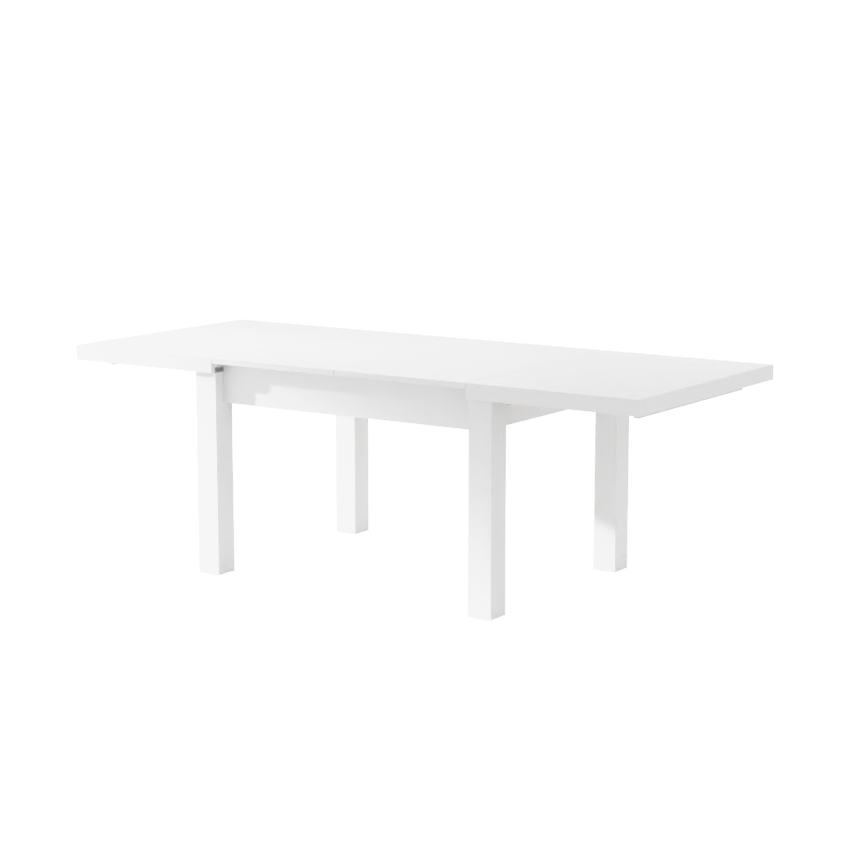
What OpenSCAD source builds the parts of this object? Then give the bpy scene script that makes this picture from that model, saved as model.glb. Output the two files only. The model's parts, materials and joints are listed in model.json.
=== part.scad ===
// Extendable dining table: four square legs and a fixed frame, two end leaves that run
// outwards on full-extension ball slides, and two loose inserts that fill the middle.
// Drawn fully extended. The origin is on the floor, midway between the legs:
// X runs along the table, Y across it and Z up. "Front" is the -Y side.

/* [Table top] */
// Height of the table top above the floor
table_h = 740; // [720:5:770]
// Width of the table top
table_w = 900; // [860:10:1000]
// Length of one end leaf
leaf_l = 600; // [590:5:650]
// Length of one loose insert, which is also how far a leaf travels
insert_l = 500; // [450:10:500]
// Thickness of the top boards
board_t = 18; // [16:1:20]
// Height of the thickened edge round each end leaf
edge_h = 50; // [48:1:52]
// Thickness of the strips that thicken the edge
strip_t = 18; // [16:1:20]
// Gap left at each joint between boards
seam_gap = 0.8; // [0.2:0.1:1]

/* [Frame] */
// Side of one square leg
leg_w = 85; // [80:1:90]
// How far the legs stand in from the ends of the closed table
leg_inset_end = 17; // [10:1:20]
// How far the legs stand in from the sides of the table
leg_inset_side = 18; // [18:1:24]
// Gap between the top of a leg and the edge of the leaf that runs over it
leg_top_gap = 1; // [0.5:0.5:2]
// Thickness of the aprons
apron_t = 18; // [16:1:20]
// Depth of the aprons' lower edge below the table top
apron_drop = 156; // [150:1:165]
// Depth of the end aprons' upper edge, over which the runners pass
end_apron_top_drop = 92; // [90:1:96]
// How far a long apron stands back from the legs' outer faces
long_apron_setback = 40; // [38:1:42]
// How far an end apron stands back from the legs' outer faces
end_apron_setback = 56; // [54:1:58]
// Gap between the long aprons' upper edge and the boards above
apron_top_gap = 1; // [1:0.5:2]
// Diameter of the glide under each leg
glide_d = 34; // [24:1:40]
// Thickness of the glide under each leg
glide_t = 3; // [2:0.5:5]

/* [Slides and runners] */
// Height of the ball slides
slide_h = 45; // [45:1:46]
// Thickness of one whole slide
slide_t = 12.7; // [12.7:0.1:13]
// Length of each slide member
slide_l = 500; // [490:5:500]
// Distance from the table's middle to the fixed slide members
slide_start = 22; // [20:1:24]
// Depth of the slides' centre line below the table top
slide_drop = 43.5; // [43:0.5:45]
// Thickness of the sheet steel in the slides
slide_sheet = 1.2; // [1:0.1:1.4]
// Thickness of the runners under the leaves
runner_t = 20; // [18:1:24]
// Height of the runners under the leaves
runner_h = 50; // [48:1:52]
// Height of the strip that joins the runners at a leaf's outer end
cross_strip_h = 57; // [50:1:60]

/* [Hardware] */
// Diameter of the bolts that hold the legs
bolt_d = 8; // [6:1:8]
// Diameter of the wood screws
screw_d = 4; // [3.5:0.5:4.5]
// Thickness of the corner brackets' steel
bracket_t = 2.5; // [2:0.5:3]
// Height of the corner brackets
bracket_h = 48; // [44:1:50]

/* [Hidden] */
$fn = 48;

// Colours
laminate_white = [0.94, 0.94, 0.93];
beech = [0.80, 0.64, 0.45];
zinc = [0.74, 0.76, 0.78];
dark_zinc = [0.60, 0.62, 0.65];
glide_grey = [0.55, 0.55, 0.55];
felt_grey = [0.35, 0.35, 0.36];
cage_black = [0.15, 0.15, 0.16];

// Heights
board_bottom = table_h - board_t;
edge_bottom = table_h - edge_h;
leg_top = edge_bottom - leg_top_gap;
apron_bottom = table_h - apron_drop;
long_apron_top = board_bottom - apron_top_gap;
end_apron_top = table_h - end_apron_top_drop;
slide_z = table_h - slide_drop;
bracket_z = (apron_bottom + end_apron_top) / 2;

// Along the table: half lengths, measured from its middle
leg_outer_x = leaf_l - leg_inset_end;
leg_inner_x = leg_outer_x - leg_w;
end_apron_outer_x = leg_outer_x - end_apron_setback;
end_apron_inner_x = end_apron_outer_x - apron_t;
leaf_inner_x = insert_l + seam_gap / 2;
leaf_outer_x = insert_l + leaf_l;

// Across the table: half widths, measured from its middle
half_w = table_w / 2;
leg_outer_y = half_w - leg_inset_side;
leg_inner_y = leg_outer_y - leg_w;
apron_outer_y = leg_outer_y - long_apron_setback;
apron_inner_y = apron_outer_y - apron_t;
slide_inner_y = leg_inner_y - slide_t;
runner_inner_y = slide_inner_y - runner_t;

// Slides: each member starts this far along the table when it is fully extended
outer_start = slide_start;
middle_start = slide_start + insert_l / 2;
inner_start = slide_start + insert_l;
runner_start = inner_start - 12;
cross_strip_x = inner_start + slide_l + 3;
cross_strip_end_gap = 3;
slide_screws_at = [60, 250, 440];

// Slide sections, as thickness across the slide from its fixed face
outer_depth = 10.6;
middle_web = 4.2;
middle_depth = 11.4;
inner_depth = 6.3;
track_gap = 2.8;
middle_h = slide_h - 2 * (slide_sheet + track_gap);
inner_h = middle_h - 2 * (slide_sheet + track_gap);
cage_t = 1.4;
cage_l = 210;
cage_end_gap = 12;

// Wood screws, and the holes that they sit in
hole_clear = 0.5;
pilot_clear = 0.1;
screw_head_d = 8;
screw_head_h = 1.8;
slide_screw_l = 14;
bracket_screw_l = 15;
leaf_screw_l = 50;
leaf_screw_in_board = 14;
counterbore_d = 9;
screw_seat = board_bottom - leaf_screw_l + leaf_screw_in_board;
runner_screws_at = [50, 210, 370, 480];
cross_screws_at = [-220, 0, 220];

// Corner brackets and leg bolts. Distances along the bolts start at the leg's inner corner
bracket_flap = 34;
bracket_reach = 29;
bracket_bolts_at = [-12, 12];
bracket_screws_at = [-14, 14];
bracket_screw_inset = 14;
leg_corner_flat = 5;
bolt_in_leg = 34;
bolt_past_nut = 3;
washer_d = 17;
washer_t = 1.6;
nut_across_corners = 15;
nut_t = 6.4;
washer_start = bracket_reach + bracket_t;
nut_start = washer_start + washer_t;
bolt_end = nut_start + nut_t + bolt_past_nut;
bracket_sum = leg_inner_x + leg_inner_y - bracket_reach * sqrt(2);
bracket_long_x = bracket_sum - apron_inner_y;
bracket_end_y = bracket_sum - end_apron_inner_x;

// What the inserts stand on
pad_w = 12;
pad_l = 40;
pads_at = [80, insert_l - 80];
rail_below_slide = 3.5;
rail_top = board_bottom - 11;
cleat_w = 17;
cleat_h = 9;
cleat_clear = 1;
cleat_end_gap = 60;

// Mirrors its children to the right end (side = 1) or the left end (side = -1)
module at_end(side) {
    if (side > 0) children();
    else mirror([1, 0, 0]) children();
}

// Mirrors its children to the back (depth = 1) or the front (depth = -1)
module at_side(depth) {
    if (depth > 0) children();
    else mirror([0, 1, 0]) children();
}

// Puts its children in all four corners
module at_corners() {
    for (side = [-1, 1], depth = [-1, 1]) at_end(side) at_side(depth) children();
}

// A box from its lowest to its highest corner
module box(low, high) {
    translate(low) cube(high - low);
}

// Puts its children at one height on a back right leg's inner corner, with Z leading out of it
module out_of_corner(z) {
    translate([leg_inner_x, leg_inner_y, z]) rotate([0, 0, -135]) rotate([0, 90, 0]) children();
}

// Puts its children at a slide member's screws, on its centre line
module slide_screw_places(start) {
    for (at = slide_screws_at) translate([start + at, 0, slide_z]) children();
}

// Puts its children at the back right bracket's screws, with Z leading out of the apron
module bracket_screw_places() {
    for (dz = bracket_screws_at) {
        translate([bracket_long_x - bracket_screw_inset, apron_inner_y, bracket_z + dz])
            rotate([90, 0, 0]) children();
        translate([end_apron_inner_x, bracket_end_y - bracket_screw_inset, bracket_z + dz])
            rotate([0, -90, 0]) children();
    }
}

// Puts its children under a right leaf's board, where the screws come up into it
module leaf_screw_places() {
    runner_y = (slide_inner_y + runner_inner_y) / 2;
    for (at = runner_screws_at, depth = [-1, 1])
        translate([runner_start + at, depth * runner_y, screw_seat]) children();
    for (at = cross_screws_at)
        translate([cross_strip_x + strip_t / 2, at, screw_seat]) children();
}

// A wood screw whose head stands on Z = 0 and whose shank runs down
module wood_screw(length) {
    cylinder(d1 = screw_head_d, d2 = screw_head_d - 2, h = screw_head_h);
    translate([0, 0, -length]) cylinder(d = screw_d, h = length);
}

// A pilot hole for a wood screw that starts at Z = 0 and goes down
module pilot_hole(depth) {
    translate([0, 0, -depth]) cylinder(d = screw_d + pilot_clear, h = depth + 1);
}

// ---- Frame ----

module leg(side, depth) {
    color(laminate_white) at_end(side) at_side(depth) difference() {
        box([leg_inner_x, leg_inner_y, glide_t], [leg_outer_x, leg_outer_y, leg_top]);
        // the flat that the bolts go into
        out_of_corner(bracket_z) translate([0, 0, leg_corner_flat])
            cube([bracket_h, leg_w / 2, leg_corner_flat * 4], center = true);
        for (dz = bracket_bolts_at) out_of_corner(bracket_z + dz)
            translate([0, 0, -bolt_in_leg - 1])
                cylinder(d = bolt_d + pilot_clear, h = bolt_in_leg + 2);
    }
}

module glide(side, depth) {
    color(glide_grey) at_end(side) at_side(depth)
        translate([leg_outer_x - leg_w / 2, leg_outer_y - leg_w / 2, 0]) {
            cylinder(d1 = glide_d - 2, d2 = glide_d, h = 1, $fn = 64);
            translate([0, 0, 1]) cylinder(d = glide_d, h = glide_t - 1, $fn = 64);
        }
}

module long_apron(depth) {
    color(laminate_white) at_side(depth) difference() {
        box([-leg_inner_x, apron_inner_y, apron_bottom],
            [leg_inner_x, apron_outer_y, long_apron_top]);
        for (side = [-1, 1]) at_end(side) bracket_screw_places() pilot_hole(bracket_screw_l);
    }
}

module end_apron(side) {
    color(laminate_white) at_end(side) difference() {
        box([end_apron_inner_x, -leg_inner_y, apron_bottom],
            [end_apron_outer_x, leg_inner_y, end_apron_top]);
        for (depth = [-1, 1]) at_side(depth) bracket_screw_places() pilot_hole(bracket_screw_l);
    }
}

// Ties the long aprons together under the joint between the inserts
module centre_rail() {
    color(beech) box([-apron_t / 2, -apron_inner_y, apron_bottom],
                     [apron_t / 2, apron_inner_y, end_apron_top]);
}

// Brings the slides' fixed members in line with the legs' inner faces, under the insert's cleats
module mounting_rail(depth) {
    color(beech) at_side(depth) difference() {
        box([-leg_inner_x, leg_inner_y, slide_z - slide_h / 2 - rail_below_slide],
            [leg_inner_x, apron_inner_y, rail_top]);
        for (side = [-1, 1]) at_end(side) slide_screw_places(outer_start)
            translate([0, leg_inner_y, 0]) rotate([90, 0, 0]) pilot_hole(slide_screw_l);
    }
}

module corner_brackets() {
    plate_l = (end_apron_inner_x - bracket_long_x) * sqrt(2);
    low = bracket_z - bracket_h / 2;
    high = bracket_z + bracket_h / 2;
    color(zinc) at_corners() difference() {
        union() {
            box([bracket_long_x - bracket_flap, apron_inner_y - bracket_t, low],
                [bracket_long_x + bracket_t / 2, apron_inner_y, high]);
            box([end_apron_inner_x - bracket_t, bracket_end_y - bracket_flap, low],
                [end_apron_inner_x, bracket_end_y + bracket_t / 2, high]);
            translate([bracket_long_x, apron_inner_y, bracket_z]) rotate([0, 0, -45])
                translate([0, -bracket_t, -bracket_h / 2]) cube([plate_l, bracket_t, bracket_h]);
        }
        for (dz = bracket_bolts_at) out_of_corner(bracket_z + dz)
            translate([0, 0, bracket_reach - 1])
                cylinder(d = bolt_d + hole_clear, h = bracket_t + 2);
        bracket_screw_places() translate([0, 0, -1])
            cylinder(d = screw_d + hole_clear, h = bracket_t + 2);
    }
}

module leg_bolts() {
    color(dark_zinc) at_corners() for (dz = bracket_bolts_at) out_of_corner(bracket_z + dz)
        translate([0, 0, -bolt_in_leg]) cylinder(d = bolt_d, h = bolt_in_leg + bolt_end);
}

module leg_washers() {
    color(zinc) at_corners() for (dz = bracket_bolts_at) out_of_corner(bracket_z + dz)
        translate([0, 0, washer_start]) difference() {
            cylinder(d = washer_d, h = washer_t);
            translate([0, 0, -1]) cylinder(d = bolt_d + hole_clear, h = washer_t + 2);
        }
}

module leg_nuts() {
    color(zinc) at_corners() for (dz = bracket_bolts_at) out_of_corner(bracket_z + dz)
        translate([0, 0, nut_start]) difference() {
            cylinder(d = nut_across_corners, h = nut_t, $fn = 6);
            translate([0, 0, -1]) cylinder(d = bolt_d + pilot_clear, h = nut_t + 2);
        }
}

module bracket_screws() {
    color(zinc) at_corners() bracket_screw_places()
        translate([0, 0, bracket_t]) wood_screw(bracket_screw_l);
}

// ---- Slides ----

// A back right channel between two distances from the slide's fixed face. Its web is at "web"
module channel(start, height, near, far, web) {
    web_near = web == "fixed" ? near : far - slide_sheet;
    hollow_near = web == "fixed" ? near + slide_sheet : near - 1;
    hollow_far = web == "fixed" ? far + 1 : far - slide_sheet;
    hollow_h = height - 2 * slide_sheet;
    difference() {
        box([start, leg_inner_y - far, slide_z - height / 2],
            [start + slide_l, leg_inner_y - near, slide_z + height / 2]);
        box([start - 1, leg_inner_y - hollow_far, slide_z - hollow_h / 2],
            [start + slide_l + 1, leg_inner_y - hollow_near, slide_z + hollow_h / 2]);
        slide_screw_places(start) translate([0, leg_inner_y - web_near + 1, 0])
            rotate([90, 0, 0]) cylinder(d = screw_d + hole_clear, h = slide_sheet + 2);
    }
}

module slide_outer(side, depth) {
    color(zinc) at_end(side) at_side(depth)
        channel(outer_start, slide_h, 0, outer_depth, "fixed");
}

module slide_middle(side, depth) {
    color(dark_zinc) at_end(side) at_side(depth)
        channel(middle_start, middle_h, middle_web, middle_depth, "fixed");
}

module slide_inner(side, depth) {
    color(zinc) at_end(side) at_side(depth)
        channel(inner_start, inner_h, inner_depth, slide_t, "moving");
}

// Strips that hold the balls apart, in the tracks above and below each pair of members
module ball_cages(side) {
    outer_track = slide_h / 2 - slide_sheet - track_gap / 2;
    inner_track = middle_h / 2 - slide_sheet - track_gap / 2;
    color(cage_black) at_end(side) for (depth = [-1, 1], up = [-1, 1]) at_side(depth) {
        translate([outer_start + slide_l - cage_end_gap - cage_l,
                   leg_inner_y - outer_depth + 1, slide_z + up * outer_track - cage_t / 2])
            cube([cage_l, outer_depth - middle_web - 1, cage_t]);
        translate([inner_start + cage_end_gap,
                   leg_inner_y - middle_depth + 1, slide_z + up * inner_track - cage_t / 2])
            cube([cage_l, middle_depth - inner_depth - 1, cage_t]);
    }
}

module slide_outer_screws() {
    color(zinc) at_corners() slide_screw_places(outer_start)
        translate([0, leg_inner_y - slide_sheet, 0]) rotate([90, 0, 0]) wood_screw(slide_screw_l);
}

module slide_inner_screws(side) {
    color(zinc) at_end(side) for (depth = [-1, 1]) at_side(depth) slide_screw_places(inner_start)
        translate([0, slide_inner_y + slide_sheet, 0]) rotate([-90, 0, 0]) wood_screw(slide_screw_l);
}

// ---- End leaves ----

module leaf_board(side) {
    color(laminate_white) at_end(side) difference() {
        box([leaf_inner_x, -half_w, board_bottom], [leaf_outer_x, half_w, table_h]);
        leaf_screw_places() cylinder(d = screw_d + pilot_clear, h = leaf_screw_l + 1);
    }
}

// The strips under the board's rim meet in mitres at its outer corners
module leaf_side_edge(side, depth) {
    color(laminate_white) at_end(side) at_side(depth) translate([0, 0, edge_bottom])
        linear_extrude(edge_h - board_t) polygon([
            [leaf_inner_x, half_w - strip_t], [leaf_outer_x - strip_t, half_w - strip_t],
            [leaf_outer_x, half_w], [leaf_inner_x, half_w]
        ]);
}

module leaf_end_edge(side) {
    color(laminate_white) at_end(side) translate([0, 0, edge_bottom])
        linear_extrude(edge_h - board_t) polygon([
            [leaf_outer_x - strip_t, strip_t - half_w], [leaf_outer_x, -half_w],
            [leaf_outer_x, half_w], [leaf_outer_x - strip_t, half_w - strip_t]
        ]);
}

// Cuts the clearance holes and counterbores for the screws that come up from below
module leaf_screw_holes() {
    leaf_screw_places() {
        cylinder(d = screw_d + hole_clear, h = leaf_screw_l + 1);
        translate([0, 0, -runner_h]) cylinder(d = counterbore_d, h = runner_h);
    }
}

module leaf_runner(side, depth) {
    color(beech) at_end(side) difference() {
        at_side(depth) difference() {
            box([runner_start, runner_inner_y, board_bottom - runner_h],
                [cross_strip_x, slide_inner_y, board_bottom]);
            slide_screw_places(inner_start) translate([0, slide_inner_y, 0])
                rotate([-90, 0, 0]) pilot_hole(slide_screw_l);
        }
        leaf_screw_holes();
    }
}

module leaf_cross_strip(side) {
    strip_half_l = leg_inner_y - cross_strip_end_gap;
    color(laminate_white) at_end(side) difference() {
        box([cross_strip_x, -strip_half_l, board_bottom - cross_strip_h],
            [cross_strip_x + strip_t, strip_half_l, board_bottom]);
        leaf_screw_holes();
    }
}

// The screws stand head down in their counterbores
module leaf_screws(side) {
    color(zinc) at_end(side) leaf_screw_places() mirror([0, 0, 1]) wood_screw(leaf_screw_l);
}

// ---- Inserts ----

module insert(side) {
    color(laminate_white) at_end(side)
        box([seam_gap / 2, -half_w, board_bottom], [insert_l - seam_gap / 2, half_w, table_h]);
}

// Blocks that drop in between the long aprons and keep the insert in line
module insert_cleats(side) {
    cleat_outer_y = apron_inner_y - cleat_clear;
    color(beech) at_end(side) for (depth = [-1, 1]) at_side(depth)
        box([cleat_end_gap, cleat_outer_y - cleat_w, board_bottom - cleat_h],
            [insert_l - cleat_end_gap, cleat_outer_y, board_bottom]);
}

// Felt pads that stand on the long aprons
module insert_pads(side) {
    color(felt_grey) at_end(side) for (depth = [-1, 1], at = pads_at) at_side(depth)
        translate([at - pad_l / 2, (apron_inner_y + apron_outer_y - pad_w) / 2, long_apron_top])
            cube([pad_l, pad_w, apron_top_gap]);
}

leg(-1, -1);  // leg_front_left
leg(1, -1);  // leg_front_right
leg(-1, 1);  // leg_back_left
leg(1, 1);  // leg_back_right
glide(-1, -1);  // glide_front_left
glide(1, -1);  // glide_front_right
glide(-1, 1);  // glide_back_left
glide(1, 1);  // glide_back_right
long_apron(-1);  // front_apron
long_apron(1);  // back_apron
end_apron(-1);  // left_end_apron
end_apron(1);  // right_end_apron
centre_rail();
mounting_rail(-1);  // front_mounting_rail
mounting_rail(1);  // back_mounting_rail
corner_brackets();
leg_bolts();
leg_washers();
leg_nuts();
bracket_screws();
slide_outer(-1, -1);  // slide_outer_front_left
slide_outer(1, -1);  // slide_outer_front_right
slide_outer(-1, 1);  // slide_outer_back_left
slide_outer(1, 1);  // slide_outer_back_right
slide_outer_screws();
slide_middle(-1, -1);  // slide_middle_front_left
slide_middle(1, -1);  // slide_middle_front_right
slide_middle(-1, 1);  // slide_middle_back_left
slide_middle(1, 1);  // slide_middle_back_right
ball_cages(-1);  // left_ball_cages
ball_cages(1);  // right_ball_cages
slide_inner(-1, -1);  // slide_inner_front_left
slide_inner(1, -1);  // slide_inner_front_right
slide_inner(-1, 1);  // slide_inner_back_left
slide_inner(1, 1);  // slide_inner_back_right
slide_inner_screws(-1);  // left_slide_inner_screws
slide_inner_screws(1);  // right_slide_inner_screws
leaf_board(-1);  // left_leaf_board
leaf_side_edge(-1, -1);  // left_leaf_front_edge
leaf_side_edge(-1, 1);  // left_leaf_back_edge
leaf_end_edge(-1);  // left_leaf_end_edge
leaf_runner(-1, -1);  // left_front_runner
leaf_runner(-1, 1);  // left_back_runner
leaf_cross_strip(-1);  // left_cross_strip
leaf_screws(-1);  // left_leaf_screws
leaf_board(1);  // right_leaf_board
leaf_side_edge(1, -1);  // right_leaf_front_edge
leaf_side_edge(1, 1);  // right_leaf_back_edge
leaf_end_edge(1);  // right_leaf_end_edge
leaf_runner(1, -1);  // right_front_runner
leaf_runner(1, 1);  // right_back_runner
leaf_cross_strip(1);  // right_cross_strip
leaf_screws(1);  // right_leaf_screws
insert(-1);  // left_insert
insert_cleats(-1);  // left_insert_cleats
insert_pads(-1);  // left_insert_pads
insert(1);  // right_insert
insert_cleats(1);  // right_insert_cleats
insert_pads(1);  // right_insert_pads
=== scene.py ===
# Looks of the extendable dining table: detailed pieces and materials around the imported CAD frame.
import json
import math

import bmesh
import bpy
from mathutils import Matrix, Vector

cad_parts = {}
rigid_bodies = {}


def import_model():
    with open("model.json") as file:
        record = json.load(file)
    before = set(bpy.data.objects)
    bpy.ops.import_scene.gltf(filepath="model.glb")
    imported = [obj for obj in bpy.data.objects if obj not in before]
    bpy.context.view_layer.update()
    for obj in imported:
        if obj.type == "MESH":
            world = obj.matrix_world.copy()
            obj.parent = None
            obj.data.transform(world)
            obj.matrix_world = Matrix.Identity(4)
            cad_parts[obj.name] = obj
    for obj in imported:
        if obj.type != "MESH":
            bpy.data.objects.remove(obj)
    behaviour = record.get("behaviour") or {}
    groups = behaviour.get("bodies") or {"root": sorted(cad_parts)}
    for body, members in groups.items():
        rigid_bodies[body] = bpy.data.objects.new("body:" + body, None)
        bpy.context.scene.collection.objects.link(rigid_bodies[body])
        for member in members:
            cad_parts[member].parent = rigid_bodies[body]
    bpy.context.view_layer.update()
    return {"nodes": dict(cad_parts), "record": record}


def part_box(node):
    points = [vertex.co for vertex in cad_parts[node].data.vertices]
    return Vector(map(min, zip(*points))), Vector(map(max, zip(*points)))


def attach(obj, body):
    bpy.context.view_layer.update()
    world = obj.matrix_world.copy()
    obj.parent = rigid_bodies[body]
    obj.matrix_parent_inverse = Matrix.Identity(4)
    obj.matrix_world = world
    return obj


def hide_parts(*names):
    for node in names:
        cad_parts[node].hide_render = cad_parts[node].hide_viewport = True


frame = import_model()
nodes = frame["nodes"]
body_of_node = {n: b for b, names in frame["record"]["behaviour"]["bodies"].items() for n in names}
slot_of_node = {s["node"]: s["material_slot"] for s in frame["record"]["subparts"]}
SIDES = (("left", -1), ("right", 1))
DEPTHS = (("front", -1), ("back", 1))
MM = 0.001


# ---- Camera ----

# Places and distances are in metres, turns in radians, the lens and the sensor in millimetres.
CAMERA_PLACE = (4.1656, -6.0642, 1.7328)
CAMERA_TURN = 0.5928
CAMERA_TILT = 0.1699
CAMERA_LENS = 92.31
CAMERA_SENSOR = 36
CAMERA_NEAREST = 0.05
CAMERA_FARTHEST = 200


def make_camera():
    data = bpy.data.cameras.new("camera")
    data.lens = CAMERA_LENS
    data.sensor_width = CAMERA_SENSOR
    data.clip_start = CAMERA_NEAREST
    data.clip_end = CAMERA_FARTHEST
    camera = bpy.data.objects.new("camera", data)
    camera.location = CAMERA_PLACE
    camera.rotation_euler = (math.pi / 2 - CAMERA_TILT, 0, CAMERA_TURN)
    bpy.context.scene.collection.objects.link(camera)
    bpy.context.scene.camera = camera


make_camera()


# ---- Lights ----

# Each soft light: its place, its width and its power in watts. All of them point at the table's middle.
SOFT_LIGHTS = {
    "back_left": ((-2.28, 2.28, 3.30), 2.4, 24),
    "back_right": ((2.28, 2.28, 3.30), 2.4, 5),
    "front_left": ((-2.28, -2.28, 3.30), 2.4, 7),
    "overhead": ((1.11, -1.11, 4.49), 2.4, 9),
    "over_right_leaf": ((0.6, 0.7, 1.9), 1.6, 3.0),
    "low_front_left": ((-2.0, -2.2, 0.4), 1.2, 2.8),
    "low_right": ((5.0, -0.9, 0.15), 1.2, 9),
}
TABLE_MIDDLE = (0, 0, 0.6)
# The key light grazes the table from the far left, and its beam fades out above the right-hand leaf.
KEY_PLACE = (-16.4, -5.05, 5.55)
KEY_TARGET = (0, 0, -0.6)
KEY_BEAM = math.radians(7.86)
KEY_FADE = 0.35
KEY_RADIUS = 0.27
KEY_POWER = 12500
SKY_GLOW = 0.735


def link_light(name, data, place, target):
    light = bpy.data.objects.new(name, data)
    light.location = place
    light.rotation_euler = (Vector(target) - Vector(place)).to_track_quat("-Z", "Y").to_euler()
    light.visible_camera = False
    bpy.context.scene.collection.objects.link(light)
    return light


def soft_light(name, place, target, width, power):
    data = bpy.data.lights.new(name, "AREA")
    data.size = width
    data.energy = power
    return link_light(name, data, place, target)


def shine_only_on(light, pieces):
    lit = bpy.data.collections.new(light.name)
    for piece in pieces:
        lit.objects.link(piece)
    light.light_linking.receiver_collection = lit


def key_light():
    data = bpy.data.lights.new("key", "SPOT")
    data.energy = KEY_POWER
    data.spot_size = KEY_BEAM
    data.spot_blend = KEY_FADE
    data.shadow_soft_size = KEY_RADIUS
    return link_light("key", data, KEY_PLACE, KEY_TARGET)


def make_world(strength):
    world = bpy.data.worlds.new("world")
    bpy.context.scene.world = world
    world.use_nodes = True
    background = world.node_tree.nodes["Background"]
    background.inputs["Color"].default_value = (1, 1, 1, 1)
    background.inputs["Strength"].default_value = strength


# Brightness in the scene and brightness shown. Lit surfaces are squeezed into a narrow range of pale greys,
# so that they stand out from the paper, which alone is shown as full white.
TONES = ((0, 0), (0.87, 0.87), (0.96, 0.912), (1.45, 0.952), (1.9, 1.0))
COMBINED_CURVE = 3


def make_tones():
    view = bpy.context.scene.view_settings
    view.view_transform = "Standard"
    view.use_curve_mapping = True
    mapping = view.curve_mapping
    brightest = TONES[-1][0]
    mapping.white_level = (brightest, brightest, brightest)
    points = mapping.curves[COMBINED_CURVE].points
    while len(points) < len(TONES):
        points.new(0.5, 0.5)
    for point, (scene_tone, shown_tone) in zip(points, TONES):
        point.location = (scene_tone / brightest, shown_tone)
        point.handle_type = "VECTOR"
    mapping.update()


make_tones()
make_world(SKY_GLOW)
key_light()
lights = {name: soft_light(name, place, TABLE_MIDDLE, width, power)
          for name, (place, width, power) in SOFT_LIGHTS.items()}


# ---- Materials ----

class Surface:
    """A material under construction: its shader, and patterns laid out in the object's own metres."""

    def __init__(self, name):
        self.material = bpy.data.materials.new(name)
        self.material.use_nodes = True
        self.tree = self.material.node_tree
        self.shader = self.tree.nodes["Principled BSDF"]
        self.place = self.tree.nodes.new("ShaderNodeTexCoord").outputs["Object"]

    def link(self, output, node, name):
        self.tree.links.new(output, node.inputs[name])

    def noise(self, per_metre, detail=3.0, roughness=0.5, distortion=0.0):
        """Noise with so many cells a metre along X, Y and Z."""
        mapping = self.tree.nodes.new("ShaderNodeMapping")
        mapping.inputs["Scale"].default_value = per_metre
        self.link(self.place, mapping, "Vector")
        texture = self.tree.nodes.new("ShaderNodeTexNoise")
        texture.inputs["Scale"].default_value = 1.0
        texture.inputs["Detail"].default_value = detail
        texture.inputs["Roughness"].default_value = roughness
        texture.inputs["Distortion"].default_value = distortion
        self.link(mapping.outputs["Vector"], texture, "Vector")
        return texture.outputs["Fac"]

    def between(self, factor, low, high, start=0.3, end=0.7):
        """Maps a factor's range from start to end onto low to high."""
        node = self.tree.nodes.new("ShaderNodeMapRange")
        node.inputs["From Min"].default_value = start
        node.inputs["From Max"].default_value = end
        node.inputs["To Min"].default_value = low
        node.inputs["To Max"].default_value = high
        self.link(factor, node, "Value")
        return node.outputs["Result"]

    def colours(self, factor, stops):
        """A colour ramp of (position, colour) stops."""
        node = self.tree.nodes.new("ShaderNodeValToRGB")
        ramp = node.color_ramp
        while len(ramp.elements) < len(stops):
            ramp.elements.new(0.5)
        for element, (position, colour) in zip(ramp.elements, stops):
            element.position = position
            element.color = (*colour, 1)
        self.link(factor, node, "Fac")
        return node.outputs["Color"]

    def multiplied(self, first, second):
        node = self.tree.nodes.new("ShaderNodeMix")
        node.data_type = "RGBA"
        node.blend_type = "MULTIPLY"
        node.inputs["Factor"].default_value = 1.0
        # by number, because the node's sockets for plain numbers have the same names
        colour_a, colour_b, result = node.inputs[6], node.inputs[7], node.outputs[2]
        self.tree.links.new(first, colour_a)
        self.tree.links.new(second, colour_b)
        return result

    def bump(self, height, depth, strength=1.0, under=None):
        """Relief of a depth in metres, on top of another bump when one is given."""
        node = self.tree.nodes.new("ShaderNodeBump")
        node.inputs["Distance"].default_value = depth
        node.inputs["Strength"].default_value = strength
        self.link(height, node, "Height")
        if under is not None:
            self.link(under, node, "Normal")
        self.link(node.outputs["Normal"], self.shader, "Normal")
        return node.outputs["Normal"]

    def set(self, **values):
        for name, value in values.items():
            self.shader.inputs[name.replace("_", " ").title()].default_value = value

    def feed(self, name, output):
        self.link(output, self.shader, name)


def even(n):
    return (n, n, n)


def white_laminate():
    """Satin white melamine: nearly even, with a fine pearl texture and faint rubbed patches."""
    s = Surface("white_laminate")
    clouds = s.noise(even(9), 2)
    pearl = s.noise(even(1500), 2, 0.6)
    s.feed("Base Color", s.multiplied(
        s.colours(clouds, [(0.3, (0.872, 0.872, 0.872)), (0.7, (0.882, 0.882, 0.882))]),
        s.colours(pearl, [(0.3, (0.985, 0.985, 0.985)), (0.7, (1, 1, 1))])))
    s.feed("Roughness", s.between(s.noise(even(22), 4), 0.34, 0.42))
    s.bump(pearl, 0.012 * MM, 0.6)
    return s.material


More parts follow.
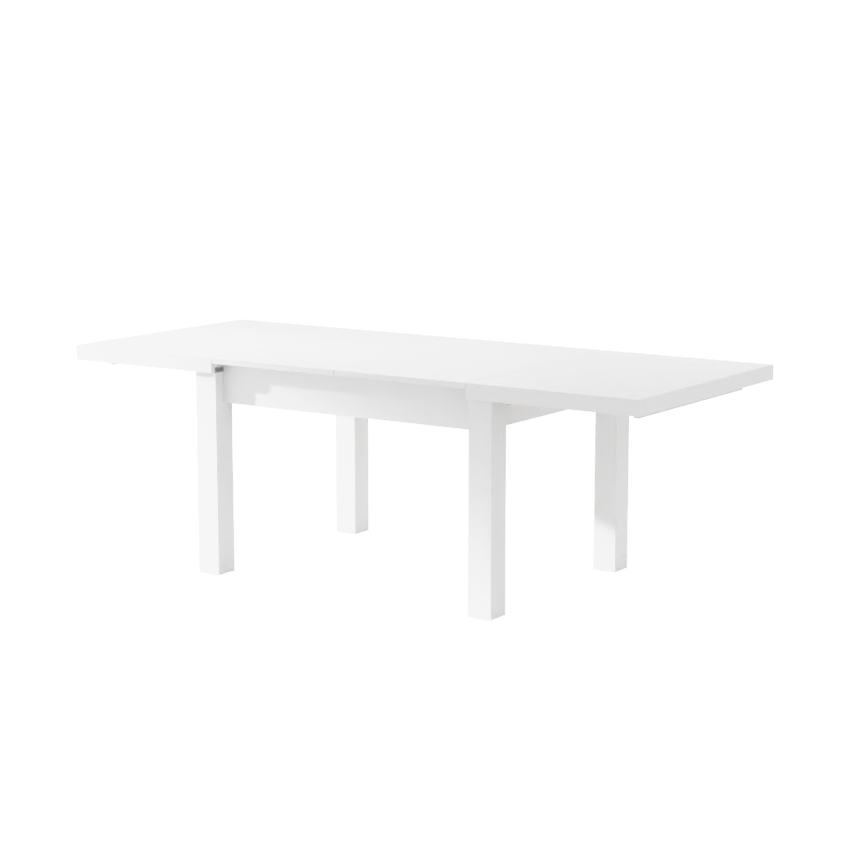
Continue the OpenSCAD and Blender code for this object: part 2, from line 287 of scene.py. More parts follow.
def beech(name, along):
    """Steamed beech: even grain along one axis, and the short dark flecks of its rays."""
    s = Surface(name)

    def stretched(length, width):
        return tuple(length if i == along else width for i in range(3))

    bands = s.noise(stretched(1.3, 38), 3, 0.55, 0.35)
    fibres = s.noise(stretched(22, 1500), 3, 0.6)
    flecks = s.noise(stretched(330, 1900), 1, 0.4)
    wood = s.colours(bands, [(0.30, (0.50, 0.305, 0.165)), (0.47, (0.60, 0.385, 0.225)),
                             (0.60, (0.65, 0.435, 0.265)), (0.75, (0.56, 0.350, 0.200))])
    fine = s.colours(fibres, [(0.30, (0.86, 0.83, 0.80)), (0.70, (1.0, 1.0, 1.0))])
    rays = s.colours(flecks, [(0.60, (1.0, 1.0, 1.0)), (0.68, (0.62, 0.52, 0.44))])
    s.feed("Base Color", s.multiplied(s.multiplied(wood, fine), rays))
    s.feed("Roughness", s.between(fibres, 0.46, 0.60))
    s.bump(fibres, 0.05 * MM, 0.5)
    return s.material


def zinc_steel():
    """Zinc-plated sheet: rolled along X, with the plating's cloudy blue and yellow tints."""
    s = Surface("zinc_steel")
    clouds = s.noise(even(26), 3, 0.6, 0.4)
    rolled = s.noise((5, 1400, 1400), 2, 0.5)
    s.feed("Base Color", s.colours(clouds, [(0.30, (0.56, 0.585, 0.62)), (0.48, (0.66, 0.675, 0.69)),
                                           (0.62, (0.68, 0.675, 0.66)), (0.75, (0.61, 0.625, 0.66))]))
    s.feed("Roughness", s.between(rolled, 0.24, 0.42))
    s.bump(rolled, 0.010 * MM, 0.5)
    s.set(metallic=1.0)
    return s.material


def zinc_fasteners():
    """Bright blue-passivated zinc on screws, bolts and nuts, slightly uneven from tumbling."""
    s = Surface("zinc_fasteners")
    clouds = s.noise(even(170), 3, 0.6)
    dents = s.noise(even(900), 2)
    s.feed("Base Color", s.colours(clouds, [(0.35, (0.60, 0.63, 0.67)), (0.50, (0.72, 0.735, 0.75)),
                                           (0.65, (0.74, 0.73, 0.70))]))
    s.feed("Roughness", s.between(clouds, 0.22, 0.38))
    s.bump(dents, 0.03 * MM, 0.4)
    s.set(metallic=1.0)
    return s.material


def plastic(name, dark, light, rough):
    """Moulded plastic with a fine spark-eroded texture."""
    s = Surface(name)
    grain = s.noise(even(1300), 2, 0.6)
    s.feed("Base Color", s.colours(s.noise(even(60), 3), [(0.3, dark), (0.7, light)]))
    s.feed("Roughness", s.between(grain, rough - 0.06, rough + 0.08))
    s.bump(grain, 0.03 * MM, 0.6)
    return s.material


def felt():
    """Pressed grey felt: mottled fibres with a soft edge to the light."""
    s = Surface("felt")
    fibres = s.noise(even(1100), 4, 0.7, 1.5)
    s.feed("Base Color", s.colours(fibres, [(0.35, (0.085, 0.087, 0.09)), (0.65, (0.22, 0.222, 0.228))]))
    s.feed("Roughness", s.between(fibres, 0.86, 1.0))
    s.bump(fibres, 0.35 * MM, 0.8)
    s.shader.inputs["Sheen Weight"].default_value = 0.35
    return s.material


finishes = {
    "white_laminate": white_laminate(),
    "beech": beech("beech", 0),
    "beech_across": beech("beech_across", 1),
    "zinc_steel": zinc_steel(),
    "zinc_fasteners": zinc_fasteners(),
    "cage_plastic": plastic("cage_plastic", (0.018, 0.018, 0.019), (0.032, 0.032, 0.033), 0.42),
    "glide_plastic": plastic("glide_plastic", (0.30, 0.30, 0.295), (0.36, 0.36, 0.355), 0.5),
    "felt": felt(),
}


def finish_of(node):
    """A node's finish. The centre rail is the one beech part that runs across the table."""
    return "beech_across" if node == "centre_rail" else slot_of_node[node]


for name, o in nodes.items():
    o.data.materials.clear()
    o.data.materials.append(finishes[finish_of(name)])


# ---- Mesh tools ----

SHARP = math.radians(30)


def round_sharp_edges(bm, faces, radius, segments, shortest=0.0):
    """Rounds the sharp edges between faces, leaving out those shorter than "shortest"."""
    edges = {e for f in faces for e in f.edges if len(e.link_faces) == 2 and e.calc_length() > shortest
             and e.calc_face_angle() > SHARP}
    bmesh.ops.bevel(bm, geom=list(edges), offset=radius, segments=segments, profile=0.5,
                    affect="EDGES", clamp_overlap=True)


def add_box(bm, low, high, radius=0.0, segments=3):
    size = Vector(high) - Vector(low)
    centre = (Vector(high) + Vector(low)) / 2
    place = Matrix.Translation(centre) @ Matrix.Diagonal((*size, 1))
    made = bmesh.ops.create_cube(bm, size=1, matrix=place)
    if radius:
        faces = {f for v in made["verts"] for f in v.link_faces}
        round_sharp_edges(bm, faces, radius, segments)


def add_prism(bm, outline, low, high, place=None, radius=0.0, segments=2):
    """An outline in the XY plane drawn out from z = low to z = high, with its sharp edges rounded."""
    place = place or Matrix()
    count = len(outline)
    bottom = [bm.verts.new(place @ Vector((x, y, low))) for x, y in outline]
    top = [bm.verts.new(place @ Vector((x, y, high))) for x, y in outline]
    faces = [bm.faces.new(top), bm.faces.new(list(reversed(bottom)))]
    for i in range(count):
        j = (i + 1) % count
        faces.append(bm.faces.new((bottom[i], bottom[j], top[j], top[i])))
    bmesh.ops.recalc_face_normals(bm, faces=faces)
    if radius:
        round_sharp_edges(bm, faces, radius, segments)


def add_lathe(bm, profile, place=None, segments=32, loop=False):
    """Turns a profile round the Z axis. Each of its steps is a (radius, height), or gives one for an angle.

    A radius of 0 closes an end, and a loop joins the last step to the first.
    """
    place = place or Matrix()
    turns = [2 * math.pi * k / segments for k in range(segments)]
    rings = []
    for step in profile:
        if not callable(step) and step[0] == 0:
            rings.append([bm.verts.new(place @ Vector((0, 0, step[1])))])
            continue
        ring = []
        for t in turns:
            radius, z = step(t) if callable(step) else step
            ring.append(bm.verts.new(place @ Vector((radius * math.cos(t), radius * math.sin(t), z))))
        rings.append(ring)
    faces = []
    for ring, following in zip(rings, rings[1:] + rings[:1] if loop else rings[1:]):
        for k in range(segments):
            j = (k + 1) % segments
            corners = [ring[k % len(ring)], ring[j % len(ring)],
                       following[j % len(following)], following[k % len(following)]]
            faces.append(bm.faces.new(list(dict.fromkeys(corners))))
    bmesh.ops.recalc_face_normals(bm, faces=faces)


def arc(centre, radius, start, end, steps=5):
    """Points along an arc, its angles in degrees."""
    angles = [math.radians(start + (end - start) * k / steps) for k in range(steps + 1)]
    return [(centre[0] + radius * math.cos(t), centre[1] + radius * math.sin(t)) for t in angles]


def circle(radius, count):
    return arc((0, 0), radius, 0, 360 - 360 / count, count - 1)


def strip_outline(line, left, right):
    """The outline of a strip that reaches so far to the left and to the right of a line of points."""
    points = [Vector(p) for p in line]
    sides = []
    for i, p in enumerate(points):
        run_in = (p - points[i - 1]).normalized() if i > 0 else None
        run_out = (points[i + 1] - p).normalized() if i < len(points) - 1 else None
        run_in, run_out = run_in or run_out, run_out or run_in
        across = Vector((-(run_in.y + run_out.y), run_in.x + run_out.x)).normalized()
        stretch = 1 / max(0.3, across.dot(Vector((-run_in.y, run_in.x))))
        sides.append(across * stretch)
    lefts = [tuple(p + s * left) for p, s in zip(points, sides)]
    rights = [tuple(p - s * right) for p, s in zip(points, sides)]
    return lefts + rights[::-1]


def rounded_line(corners, radius, steps=5):
    """A line through corners, each corner between the first and the last rounded to a radius."""
    corners = [Vector(c) for c in corners]
    line = [corners[0]]
    for before, corner, after in zip(corners, corners[1:], corners[2:]):
        to_before = (before - corner).normalized()
        to_after = (after - corner).normalized()
        half = to_before.angle(to_after) / 2
        start = corner + to_before * radius / math.tan(half)
        end = corner + to_after * radius / math.tan(half)
        centre = corner + (to_before + to_after).normalized() * radius / math.sin(half)
        for k in range(steps + 1):
            towards = (start - centre).lerp(end - centre, k / steps).normalized()
            line.append(centre + towards * radius)
    return line + [corners[-1]]


def welded(node):
    """A CAD node's shape with its shared corners joined and its flat faces whole."""
    bm = bmesh.new()
    bm.from_mesh(nodes[node].data)
    bmesh.ops.remove_doubles(bm, verts=bm.verts, dist=1e-6)
    bmesh.ops.dissolve_limit(bm, angle_limit=math.radians(0.5), verts=bm.verts, edges=bm.edges)
    return bm


def solids(node):
    """The points of each separate solid in a CAD node."""
    bm = welded(node)
    # taken in the mesh's own order, so that they come out in the same order at every run
    seen, found = set(), []
    for first in bm.verts:
        if first in seen:
            continue
        seen.add(first)
        waiting, points = [first], []
        while waiting:
            v = waiting.pop()
            points.append(v.co.copy())
            for e in v.link_edges:
                other = e.other_vert(v)
                if other not in seen:
                    seen.add(other)
                    waiting.append(other)
        found.append(points)
    bm.free()
    return found


def extent(points):
    """The lowest and the highest corner of the box round some points."""
    low = Vector([min(p[i] for p in points) for i in range(3)])
    high = Vector([max(p[i] for p in points) for i in range(3)])
    return low, high


def middle_of(points):
    return sum(points, Vector()) / len(points)


def frame_at(place, out):
    """A frame with its origin at a place and its Z axis pointing out."""
    turn = Vector((0, 0, 1)).rotation_difference(out).to_matrix().to_4x4()
    return Matrix.Translation(place) @ turn


def cut_with(bm, cutter):
    """Cuts one closed shape out of another."""
    scratch = []
    for shape in (bm, cutter):
        mesh = bpy.data.meshes.new("scratch")
        shape.to_mesh(mesh)
        shape.free()
        o = bpy.data.objects.new("scratch", mesh)
        bpy.context.scene.collection.objects.link(o)
        scratch.append(o)
    cut = scratch[0].modifiers.new("cut", "BOOLEAN")
    cut.object = scratch[1]
    cut.solver = "EXACT"
    bpy.context.view_layer.update()
    evaluated = scratch[0].evaluated_get(bpy.context.evaluated_depsgraph_get())
    result = bmesh.new()
    result.from_mesh(evaluated.to_mesh())
    for o in scratch:
        bpy.data.meshes.remove(o.data)
    return result


def pins(places, radius, low, high, segments=24):
    """Cutters: a cylinder along each place's Z axis."""
    bm = bmesh.new()
    for place in places:
        add_prism(bm, circle(radius, segments), low, high, place)
    return bm


def in_quarter(points):
    """Whether they are in the quarter of the table at the back right."""
    centre = middle_of(points)
    return centre.x > 0 and centre.y > 0


def mirrored(bm, side, depth=1):
    """Moves a shape drawn at the back right to another end and side of the table."""
    bm.transform(Matrix.Diagonal((side, depth, 1, 1)))
    if side * depth < 0:
        bmesh.ops.reverse_faces(bm, faces=bm.faces)
    return bm


def add_mirror_image(bm, scale):
    copy = bmesh.ops.duplicate(bm, geom=bm.verts[:] + bm.edges[:] + bm.faces[:])["geom"]
    bmesh.ops.transform(bm, matrix=Matrix.Diagonal((*scale, 1)),
                        verts=[g for g in copy if isinstance(g, bmesh.types.BMVert)])
    bmesh.ops.reverse_faces(bm, faces=[g for g in copy if isinstance(g, bmesh.types.BMFace)])


def both_sides(bm):
    """Adds the mirror image at the other side of the table."""
    add_mirror_image(bm, (1, -1, 1))


def both_ends(bm):
    """Adds the mirror image at the other end of the table."""
    add_mirror_image(bm, (-1, 1, 1))


def add_piece(name, bm, body, finish, replaced=()):
    """Makes a finished piece that rides on a body and stands for CAD nodes."""
    mesh = bpy.data.meshes.new(name)
    bm.to_mesh(mesh)
    bm.free()
    mesh.shade_smooth()
    mesh.set_sharp_from_angle(angle=SHARP)
    mesh.materials.append(finishes[finish])
    o = bpy.data.objects.new(name, mesh)
    bpy.context.scene.collection.objects.link(o)
    weighting = o.modifiers.new("even_shading", "WEIGHTED_NORMAL")
    weighting.keep_sharp = True
    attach(o, body)
    if replaced:
        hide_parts(*replaced)
    return o


def stand_in(node, bm, suffix="detail"):
    """Makes a finished piece for one CAD node, with that node's body and finish."""
    return add_piece(f"{node}_{suffix}", bm, body_of_node[node], finish_of(node), (node,))


# ---- Boards ----

BAND = 1.0 * MM
BAND_ROUND = 0.45 * MM
BAND_JOINT = 0.02 * MM
BOARD_ROUND = 0.25 * MM
LEAF_CORNER_ROUND = 1.5 * MM
# How far the edges of each kind of drilled part are rounded. Shorter edges, such as a hole's, stay sharp.
PART_ROUND = {
    "leg": 1.2 * MM,
    "apron": 0.8 * MM,
    "rail": 1.5 * MM,
    "runner": 1.5 * MM,
    "strip": 0.8 * MM,
    "cleats": 1.0 * MM,
}
SHORTEST_ROUNDED = 4 * MM


def ring_of_bands(bm, low, high):
    """Edge bands round a board's four sides. Those along Y run past the others, a hair's breadth off."""
    x0, y0, z0 = low
    x1, y1, z1 = high
    for a, b in ((x0, x0 + BAND), (x1 - BAND, x1)):
        add_box(bm, (a, y0, z0), (b, y1, z1), BAND_ROUND)
    inset = BAND + BAND_JOINT
    for a, b in ((y0, y0 + BAND), (y1 - BAND, y1)):
        add_box(bm, (x0 + inset, a, z0), (x1 - inset, b, z1), BAND_ROUND)


def make_inserts():
    for end, _ in SIDES:
        node = f"{end}_insert"
        low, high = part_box(node)
        inset = Vector((BAND, BAND, 0))
        bm = bmesh.new()
        add_box(bm, low + inset, high - inset, BOARD_ROUND)
        stand_in(node, bm, "board")
        bm = bmesh.new()
        ring_of_bands(bm, low, high)
        add_piece(f"{node}_edge_bands", bm, f"{end}_insert", "white_laminate")


def make_leaves():
    low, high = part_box("right_leaf_board")
    edge_low, edge_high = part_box("right_leaf_end_edge")
    inner_x, outer_x, half_w = low.x, high.x, high.y
    # where the board and its thickening strips meet the band, and where the strips' inner faces are
    x, y = outer_x - BAND, half_w - BAND
    strip = edge_high.x - edge_low.x
    strip_x, strip_y = x + BAND - strip, half_w - strip
    rim = [(inner_x, -half_w), (outer_x, -half_w), (outer_x, half_w), (inner_x, half_w)]
    outlines = {
        "front": [(inner_x, -y), (x, -y), (strip_x, -strip_y), (inner_x, -strip_y)],
        "back": [(inner_x, strip_y), (strip_x, strip_y), (x, y), (inner_x, y)],
        "end": [(x, -y), (x, y), (strip_x, strip_y), (strip_x, -strip_y)],
    }
    for end, side in SIDES:
        body = f"{end}_leaf"
        bm = bmesh.new()
        add_box(bm, (inner_x + BAND, -y, low.z), (x, y, high.z), BOARD_ROUND)
        stand_in(f"{end}_leaf_board", mirrored(bm, side), "board")
        # one band runs round the front, the end and the back, over the board and its thickening strips
        band = strip_outline(rounded_line(rim, LEAF_CORNER_ROUND), BAND, 0)
        bm = bmesh.new()
        add_prism(bm, band, edge_low.z, high.z, radius=BAND_ROUND, segments=3)
        add_piece(f"{end}_leaf_edge_band", mirrored(bm, side), body, "white_laminate")
        bm = bmesh.new()
        add_box(bm, (inner_x, -y, low.z), (inner_x + BAND, y, high.z), BAND_ROUND)
        add_piece(f"{end}_leaf_inner_band", mirrored(bm, side), body, "white_laminate")
        for where, outline in outlines.items():
            bm = bmesh.new()
            add_prism(bm, outline, edge_low.z, low.z, radius=BOARD_ROUND)
            stand_in(f"{end}_leaf_{where}_edge", mirrored(bm, side), "strip")


def make_wooden_parts():
    """Parts whose drilled shape comes from the CAD, with their edges rounded."""
    for node in sorted(nodes):
        kind = next((k for k in PART_ROUND if k in node), None)
        if kind is None or slot_of_node[node] not in ("white_laminate", "beech"):
            continue
        bm = welded(node)
        round_sharp_edges(bm, bm.faces, PART_ROUND[kind], 3, SHORTEST_ROUNDED)
        stand_in(node, bm)


# ---- Slides ----

wall_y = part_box("leg_back_right")[0].y
slide_low, slide_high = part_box("slide_outer_back_right")
slide_z = (slide_low.z + slide_high.z) / 2
SHEET = 1.2 * MM
BEND_RADIUS = 0.9 * MM
LIP_TURN = 1.5 * MM
# a frame whose X leads out of the slide's fixed face, whose Y is up and whose Z runs along the table
SLIDE_FRAME = Matrix(((0, 0, 1, 0), (-1, 0, 0, wall_y), (0, 1, 0, slide_z), (0, 0, 0, 1)))
TO_FRONT = Matrix.Rotation(math.radians(90), 4, "X")
SCREWS_AT = (60 * MM, 250 * MM, 440 * MM)
SLOTS_AT = (92 * MM, 155 * MM, 345 * MM, 408 * MM)
SCREW_HOLE = 2.25 * MM
SLOT_LENGTH = 7 * MM
PUNCH_REACH = 3 * SHEET
BALL_RADIUS = 1.3 * MM
BALL_SPACING = 15 * MM
CAGE_ROUND = 0.3 * MM
RING_WALL = 0.5 * MM
RING_HALF_HEIGHT = 0.85 * MM
RING_ROUND = 0.25 * MM


def member_outline(web, lips, half_h):
    """A rolled channel's section: its web, its two rounded ball tracks and their turned-in lips."""
    middle = SHEET / 2
    toward = 1 if lips > web else -1
    z = half_h - middle
    a, b = web + toward * middle, lips - toward * middle
    tip = z - LIP_TURN
    line = rounded_line([(b, -tip), (b, -z), (a, -z), (a, z), (b, z), (b, tip)], BEND_RADIUS, 4)
    return strip_outline(line, middle, middle)


def slot_outline(length, radius):
    half = length / 2 - radius
    return arc((half, 0), radius, -90, 90, 8) + arc((-half, 0), radius, 90, 270, 8)


def make_slide_member(node_kind, outline, web, holes, slots):
    """Rolls one channel, punches its holes and slots, and mirrors it to all four slides."""
    low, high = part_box(f"{node_kind}_back_right")

    def on_web(at):
        return Matrix.Translation((low.x + at, wall_y - web, slide_z)) @ TO_FRONT

    for end, side in SIDES:
        for where, depth in DEPTHS:
            bm = bmesh.new()
            add_prism(bm, outline, low.x, high.x, SLIDE_FRAME)
            cutter = pins([on_web(at) for at in holes], SCREW_HOLE, -PUNCH_REACH, PUNCH_REACH)
            for at in slots:
                slot = slot_outline(SLOT_LENGTH, SCREW_HOLE)
                add_prism(cutter, slot, -PUNCH_REACH, PUNCH_REACH, on_web(at))
            bm = cut_with(bm, cutter)
            stand_in(f"{node_kind}_{where}_{end}", mirrored(bm, side, depth), "rolled")


def add_cage(strips, balls, low, high):
    """One cage strip with a ring round each of its balls."""
    add_box(strips, low, high, CAGE_ROUND, 2)
    y, z = (low.y + high.y) / 2, (low.z + high.z) / 2
    count = int((high.x - low.x) / BALL_SPACING)
    for k in range(count):
        x = low.x + (k + 0.5) * (high.x - low.x) / count
        place = Matrix.Translation((x, y, z))
        bmesh.ops.create_uvsphere(balls, u_segments=12, v_segments=8, radius=BALL_RADIUS, matrix=place)
        ring = circle(BALL_RADIUS + RING_WALL, 24)
        add_prism(strips, ring, -RING_HALF_HEIGHT, RING_HALF_HEIGHT, place, RING_ROUND)


def make_slides():
    outer_low, outer_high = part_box("slide_outer_back_right")
    middle_low, middle_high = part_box("slide_middle_back_right")
    inner_low, inner_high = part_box("slide_inner_back_right")
    sections = (
        ("slide_outer", 0, wall_y - outer_low.y, outer_high.z - slide_z, SLOTS_AT),
        ("slide_middle", wall_y - middle_high.y, wall_y - middle_low.y, middle_high.z - slide_z, ()),
        ("slide_inner", wall_y - inner_low.y, wall_y - inner_high.y, inner_high.z - slide_z, SLOTS_AT),
    )
    for kind, web, lips, half_h, slots in sections:
        make_slide_member(kind, member_outline(web, lips, half_h), web, SCREWS_AT, slots)
    # the cage strips, and the balls that they hold apart
    for end, side in SIDES:
        node = f"{end}_ball_cages"
        strips = bmesh.new()
        balls = bmesh.new()
        for points in solids("right_ball_cages"):
            low, high = extent(points)
            if low.y + high.y >= 0:
                add_cage(strips, balls, low, high)
        for bm, suffix, finish, replaced in (
            (strips, "strips", "cage_plastic", (node,)),
            (balls, "balls", "zinc_steel", ()),
        ):
            mirrored(bm, side)
            both_sides(bm)
            add_piece(f"{node}_{suffix}", bm, body_of_node[node], finish, replaced)


# ---- Fasteners ----

HEAD_RADIUS = 4.0 * MM
HEAD_HEIGHT = 1.8 * MM
SHANK_RADIUS = 2.0 * MM
POINT_LENGTH = 4 * MM
POINT_SHOULDER = 2 * MM
# keeps the shank and its head from sharing a face
HEAD_JOINT = 0.01 * MM
# how far each screw is turned, in radians for each metre of its place, so that the crosses differ
SPIN_PER_METRE = Vector((284, 159, 185))
SCREW_NODES = ("bracket_screws", "slide_outer_screws", "left_slide_inner_screws",
               "right_slide_inner_screws", "left_leaf_screws", "right_leaf_screws")


def screw_head():
    """A pan head with a cross recess, standing on Z = 0."""
    bm = bmesh.new()
    r, h = HEAD_RADIUS, HEAD_HEIGHT
    profile = [(0, 0), (r, 0), (r, 0.15 * h), (0.97 * r, 0.4 * h), (0.87 * r, 0.68 * h),
               (0.68 * r, 0.88 * h), (0.42 * r, 0.98 * h), (0, h)]
    add_lathe(bm, profile, segments=32)
    cutter = bmesh.new()
    reach, half_w = 0.60 * r, 0.16 * r
    cross = [(reach, -half_w), (reach, half_w), (half_w, half_w), (half_w, reach), (-half_w, reach),
             (-half_w, half_w), (-reach, half_w), (-reach, -half_w), (-half_w, -half_w), (-half_w, -reach),
             (half_w, -reach), (half_w, -half_w)]
    add_prism(cutter, cross, 0.12 * h, 1.5 * h)
    return cut_with(bm, cutter)


def add_copies(bm, master, places):
    mesh = bpy.data.meshes.new("master")
    master.to_mesh(mesh)
    for place in places:
        first = len(bm.verts)
        bm.from_mesh(mesh)
        bm.verts.ensure_lookup_table()
        bmesh.ops.transform(bm, matrix=place, verts=bm.verts[first:])
    bpy.data.meshes.remove(mesh)


def width_across(points, axis):
    """The greatest width of some points at right angles to an axis."""
    low, high = extent(points)
    return max(high[i] - low[i] for i in range(3) if i != axis)


def head_direction(points):
    """Which way a screw's head points: along its length, towards its wider end."""
    low, high = extent(points)
    size = list(high - low)
    axis = size.index(max(size))
    middle = (low[axis] + high[axis]) / 2
    upper = [p for p in points if p[axis] > middle]
    lower = [p for p in points if p[axis] < middle]
    up = Vector()
    up[axis] = 1 if width_across(upper, axis) > width_across(lower, axis) else -1
    return up


def make_screws():
    head = screw_head()
    for node in SCREW_NODES:
        places = []
        bm = bmesh.new()
        for points in solids(node):
            up = head_direction(points)
            top = max(p.dot(up) for p in points)
            bottom = min(p.dot(up) for p in points)
            low, high = extent(points)
            centre = (low + high) / 2
            seat = centre + up * (top - HEAD_HEIGHT - centre.dot(up))
            place = frame_at(seat, up) @ Matrix.Rotation(seat.dot(SPIN_PER_METRE), 4, "Z")
            places.append(place)
            length = top - bottom - HEAD_HEIGHT
            shank = [(0, -length), (0.6 * SHANK_RADIUS, POINT_SHOULDER - length),
                     (SHANK_RADIUS, POINT_LENGTH - length), (SHANK_RADIUS, -HEAD_JOINT), (0, -HEAD_JOINT)]
            add_lathe(bm, shank, place, 16)
        add_copies(bm, head, places)
        stand_in(node, bm, "cross_head")
    head.free()


# ---- Leg bolts and corner brackets ----

BOLT_RADIUS = 4.0 * MM
THREAD_PITCH = 1.25 * MM
THREAD_DEPTH = 0.65 * MM
NUT_RADIUS = 7.5 * MM
NUT_FLAT = 6.4 * MM
NUT_CLEARANCE = 0.05 * MM
NUT_RIM = 0.6 * MM
NUT_TURN = 0.7
HALF_CORNER = math.radians(30)
POINT_DROP = 0.2 * MM
BOLT_HOLE = BOLT_RADIUS + 0.25 * MM
WASHER_RADIUS = 8.5 * MM
WASHER_ROUND = 0.3 * MM
NEAR_BOLT = 10 * MM
PLATE = 2.5 * MM
PLATE_ROUND = 0.5 * MM
FLAP = 34 * MM
BRACKET_BEND = 4 * MM
BOLT_DRILL = 60 * MM
SCREW_DRILL = 20 * MM


def bolt_frames():
    """A frame for each leg bolt: its origin at the middle of its length, Z along it and out of the leg."""
    frames = []
    for points in solids("leg_bolts"):
        centre = middle_of(points)
        out = Vector((-math.copysign(1, centre.x), -math.copysign(1, centre.y), 0)).normalized()
        along = [(p - centre).dot(out) for p in points]
        frames.append((frame_at(centre, out), min(along), max(along)))
    return frames


def add_thread(bm, place, low, high):
    """A threaded rod with a blunt point at each end."""
    per_turn, per_pitch = 16, 5
    steps = int((high - low) / THREAD_PITCH * per_pitch)

    def ring(i):
        z = low + (high - low) * i / steps

        def step(angle):
            phase = (z / THREAD_PITCH - angle / (2 * math.pi)) % 1
            depth = THREAD_DEPTH * abs(2 * phase - 1)
            from_end = min(z - low, high - z)
            return min(BOLT_RADIUS - depth, BOLT_RADIUS - THREAD_DEPTH - POINT_DROP + from_end), z
        return step

    profile = [(0, low)] + [ring(i) for i in range(steps + 1)] + [(0, high)]
    add_lathe(bm, profile, place, per_turn)


def nut_profile(low, high, hole):
    """Six sides, with the corners turned down at both ends and a bevelled hole."""
    slope = math.tan(HALF_CORNER)

    def corner(z, toward):
        def step(angle):
            flat = NUT_RADIUS * math.cos(HALF_CORNER)
            turn = (angle + HALF_CORNER) % (2 * HALF_CORNER) - HALF_CORNER
            radius = flat / math.cos(HALF_CORNER - abs(turn))
            return radius, z + toward * max(0, radius - NUT_FLAT) * slope
        return step

    return [(hole, low + NUT_RIM), (hole + NUT_RIM, low), (NUT_FLAT, low), corner(low, 1),
            corner(high, -1), (NUT_FLAT, high), (hole + NUT_RIM, high), (hole, high - NUT_RIM)]


def rounded_ring(inner, outer, low, high, r):
    return [(inner + r, low), (outer - r, low), (outer, low + r), (outer, high - r),
            (outer - r, high), (inner + r, high), (inner, high - r), (inner, low + r)]


def make_leg_bolts():
    threads, nuts, washers = bmesh.new(), bmesh.new(), bmesh.new()
    nut_low, nut_high = span_along_bolt("leg_nuts")
    washer_low, washer_high = span_along_bolt("leg_washers")
    for k, (place, low, high) in enumerate(bolt_frames()):
        add_thread(threads, place, low, high)
        spin = Matrix.Rotation(NUT_TURN * k, 4, "Z")
        add_lathe(nuts, nut_profile(nut_low, nut_high, BOLT_RADIUS + NUT_CLEARANCE), place @ spin, 48, True)
        ring = rounded_ring(BOLT_HOLE, WASHER_RADIUS, washer_low, washer_high, WASHER_ROUND)
        add_lathe(washers, ring, place, 48, True)
    stand_in("leg_bolts", threads, "threaded")
    stand_in("leg_nuts", nuts, "hexagon")
    stand_in("leg_washers", washers, "rounded")


def span_along_bolt(node):
    """How far one bolt's nut or washer reaches along it."""
    back = bolt_frames()[0][0].inverted()
    spans = []
    for points in solids(node):
        local = [back @ p for p in points]
        if all(math.hypot(p.x, p.y) < NEAR_BOLT for p in local):
            spans.append((min(p.z for p in local), max(p.z for p in local)))
    return spans[0]


def make_corner_brackets():
    """Bent from one strip of steel each, and drilled for two leg bolts and four screws."""
    low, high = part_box("corner_brackets")
    apron_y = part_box("back_apron")[0].y
    end_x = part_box("right_end_apron")[0].x
    quarter = [p for points in solids("corner_brackets") for p in points if p.x > 0 and p.y > 0]
    start_x = min(p.x for p in quarter)
    last_y = min(p.y for p in quarter)
    bend_x, bend_y = start_x + FLAP, last_y + FLAP
    middle = PLATE / 2
    # the line runs through the middle of the steel, and each bend turns it by 45 degrees
    corner = middle * math.tan(math.radians(45 / 2))
    line = rounded_line([
        (start_x, apron_y - middle), (bend_x - corner, apron_y - middle),
        (end_x - middle, bend_y - corner), (end_x - middle, last_y),
    ], BRACKET_BEND, 8)
    outline = strip_outline(line, middle, middle)
    bolt_places = [place for place, _, _ in bolt_frames() if in_quarter([place.translation])]
    screw_places = [frame_at(middle_of(points), head_direction(points))
                    for points in solids("bracket_screws") if in_quarter(points)]
    bm = bmesh.new()
    add_prism(bm, outline, low.z, high.z, radius=PLATE_ROUND)
    bm = cut_with(bm, pins(bolt_places, BOLT_HOLE, -BOLT_DRILL, BOLT_DRILL))
    bm = cut_with(bm, pins(screw_places, SCREW_HOLE, -SCREW_DRILL, SCREW_DRILL))
    both_sides(bm)
    both_ends(bm)
    stand_in("corner_brackets", bm, "bent")


# ---- Feet and pads ----

PAD_ROUND = 0.35 * MM


def make_glides():
    nails = bmesh.new()
    for end, _ in SIDES:
        for where, _ in DEPTHS:
            node = f"glide_{where}_{end}"
            low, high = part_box(node)
            centre = (low + high) / 2
            place = Matrix.Translation((centre.x, centre.y, 0))
            r = (high.x - low.x) / 2
            top = high.z
            # from the hollow for the nail's head out over the foot's rounded rim and back to its flat top
            profile = [(0, 1.3 * MM), (4.2 * MM, 1.3 * MM), (4.6 * MM, 0.9 * MM), (5.6 * MM, 0.15 * MM),
                       (6.4 * MM, 0), (r - 1.6 * MM, 0), (r - 0.7 * MM, 0.3 * MM),
                       (r - 0.15 * MM, 0.8 * MM), (r, 1.3 * MM), (r, top - 0.4 * MM),
                       (r - 0.3 * MM, top), (0, top)]
            bm = bmesh.new()
            add_lathe(bm, profile, place, 72)
            stand_in(node, bm, "moulded")
            dome = [(0, 0.35 * MM), (1.6 * MM, 0.45 * MM), (2.9 * MM, 0.75 * MM), (3.7 * MM, 1.3 * MM),
                    (1.2 * MM, 1.35 * MM), (1.2 * MM, 12 * MM), (0, 14 * MM)]
            add_lathe(nails, dome, place, 32)
    add_piece("glide_nails", nails, "frame", "zinc_fasteners")


def make_pads():
    for end, _ in SIDES:
        node = f"{end}_insert_pads"
        bm = bmesh.new()
        for points in solids(node):
            low, high = extent(points)
            add_box(bm, low, high, PAD_ROUND)
        stand_in(node, bm, "pressed")


make_inserts()
make_leaves()
make_wooden_parts()
make_slides()
make_screws()
make_leg_bolts()
make_corner_brackets()
make_glides()
make_pads()

# its light is meant for the top alone: it would make the legs' right faces too bright
table_top = [o for o in bpy.context.scene.objects if o.name.endswith(("_board", "_band", "_bands"))]
shine_only_on(lights["over_right_leaf"], table_top)


# ---- Floor and backdrop ----

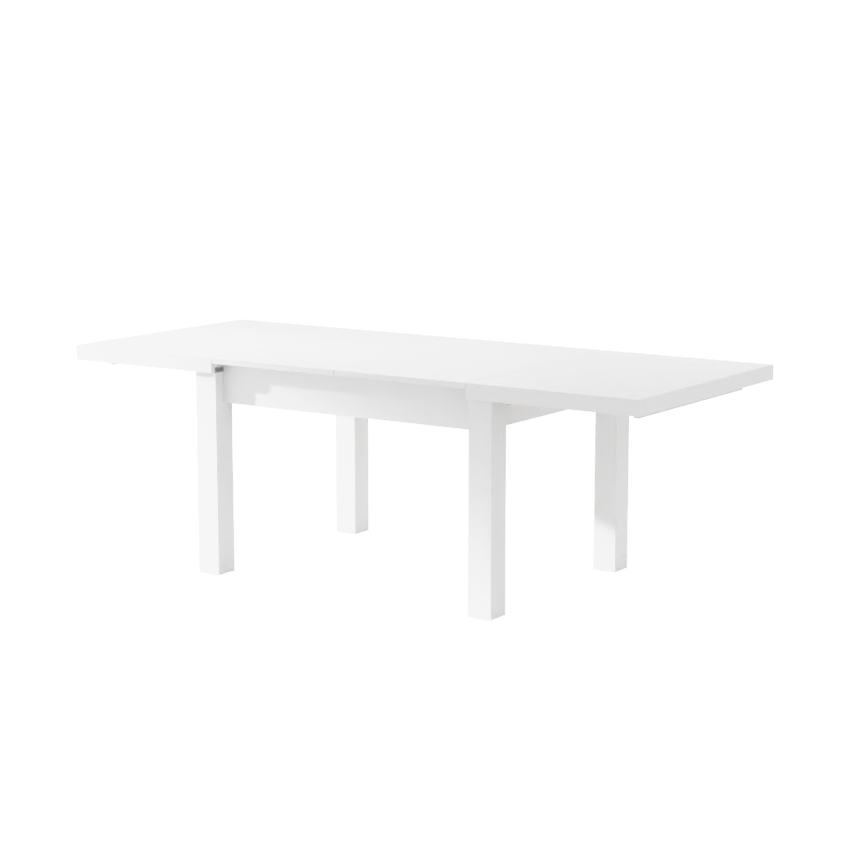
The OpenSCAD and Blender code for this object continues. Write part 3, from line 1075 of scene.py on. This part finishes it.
FLOOR_GLOW = 1.58
FLOOR_GLOW_FAR = 2.0
FLOOR_GREY = 0.40
BOUNCE_GREY = 0.75
BOUNCE_GLOW = 0.20
GLOW_STARTS = 1.2
GLOW_ENDS = 3.5
STAGE_RADIUS = 60


def stage_object(name, bm, grey, glow):
    """Part of the studio: matt, neutral, and glowing by itself where the paper is overexposed."""
    mesh = bpy.data.meshes.new(name)
    bm.to_mesh(mesh)
    bm.free()
    o = bpy.data.objects.new(name, mesh)
    bpy.context.scene.collection.objects.link(o)
    s = Surface(name)
    s.shader.inputs["Base Color"].default_value = (*even(grey), 1)
    s.shader.inputs["Roughness"].default_value = 1.0
    s.shader.inputs["Specular IOR Level"].default_value = 0.0
    s.shader.inputs["Emission Color"].default_value = (1, 1, 1, 1)
    s.shader.inputs["Emission Strength"].default_value = glow
    mesh.materials.append(s.material)
    return o, s


def seen_only(o):
    """Leaves an object for the camera to see, with no part in the light."""
    o.visible_diffuse = False
    o.visible_glossy = False
    o.visible_transmission = False
    o.visible_shadow = False


def disc():
    bm = bmesh.new()
    bmesh.ops.create_circle(bm, cap_ends=True, radius=STAGE_RADIUS, segments=64)
    return bm


def clear_from_below(s):
    """Lets a camera under the floor look up through it."""
    facing = s.tree.nodes.new("ShaderNodeNewGeometry")
    clear = s.tree.nodes.new("ShaderNodeBsdfTransparent")
    mixed = s.tree.nodes.new("ShaderNodeMixShader")
    s.link(facing.outputs["Backfacing"], mixed, 0)
    s.link(s.shader.outputs["BSDF"], mixed, 1)
    s.link(clear.outputs["BSDF"], mixed, 2)
    s.link(mixed.outputs["Shader"], s.tree.nodes["Material Output"], "Surface")


def make_floor():
    """The pale floor that is seen, which catches the feet's faint shadows and turns white far off."""
    floor, s = stage_object("floor", disc(), FLOOR_GREY, FLOOR_GLOW)
    distance = s.tree.nodes.new("ShaderNodeVectorMath")
    distance.operation = "LENGTH"
    s.link(s.place, distance, 0)
    glow = s.between(distance.outputs["Value"], FLOOR_GLOW, FLOOR_GLOW_FAR, GLOW_STARTS, GLOW_ENDS)
    s.feed("Emission Strength", glow)
    clear_from_below(s)
    seen_only(floor)


def make_bounce():
    """The same floor as the table sees it: it throws the lights back up, and the camera looks past it."""
    bounce, _ = stage_object("bounce", disc(), BOUNCE_GREY, BOUNCE_GLOW)
    bounce.location.z = -1 * MM
    bounce.visible_camera = False


def make_backdrop():
    """White paper far behind the table."""
    bm = bmesh.new()
    bmesh.ops.create_uvsphere(bm, u_segments=48, v_segments=24, radius=STAGE_RADIUS)
    backdrop, _ = stage_object("backdrop", bm, 0, FLOOR_GLOW_FAR)
    seen_only(backdrop)


make_floor()
make_bounce()
make_backdrop()
